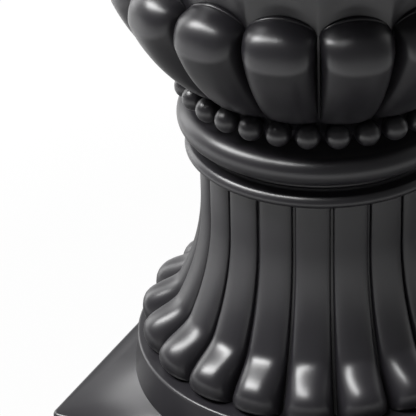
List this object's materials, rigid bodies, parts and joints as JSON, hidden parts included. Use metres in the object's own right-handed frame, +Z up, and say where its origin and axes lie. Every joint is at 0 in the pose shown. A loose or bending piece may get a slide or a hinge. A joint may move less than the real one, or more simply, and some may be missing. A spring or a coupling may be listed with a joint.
{
  "type": "urn planter",
  "caption": "Tall garden urn planter: lobed bowl with beaded neck and rolled rim, bolted to a ribbed stem on a square plinth, with drain plug.",
  "frame": {"origin": "on the ground, under the middle of the plinth", "axes": "+Z up; the sides of the plinth lie along X and Y"},
  "size_m": [0.4496, 0.4496, 0.545],
  "materials": {
    "urn_black": "satin black moulded plastic",
    "rubber_black": "soft black rubber",
    "zinc_steel": "bright zinc plated steel"
  },
  "bodies": {
    "urn": {"bowl": "urn_black", "pedestal": "urn_black", "plinth": "urn_black", "bowl_bolts": "zinc_steel", "bolt_seals": "rubber_black", "bolt_washers": "zinc_steel", "wing_nuts": "zinc_steel", "plinth_screws": "zinc_steel", "foot_pads": "rubber_black"},
    "plug": {"drain_plug": "rubber_black"}
  },
  "joints": [
    {"name": "plug_pull", "type": "slide", "parent": "urn", "child": "plug", "axis": [0, 0, 1], "range_m": [0, 0.035]}
  ]
}
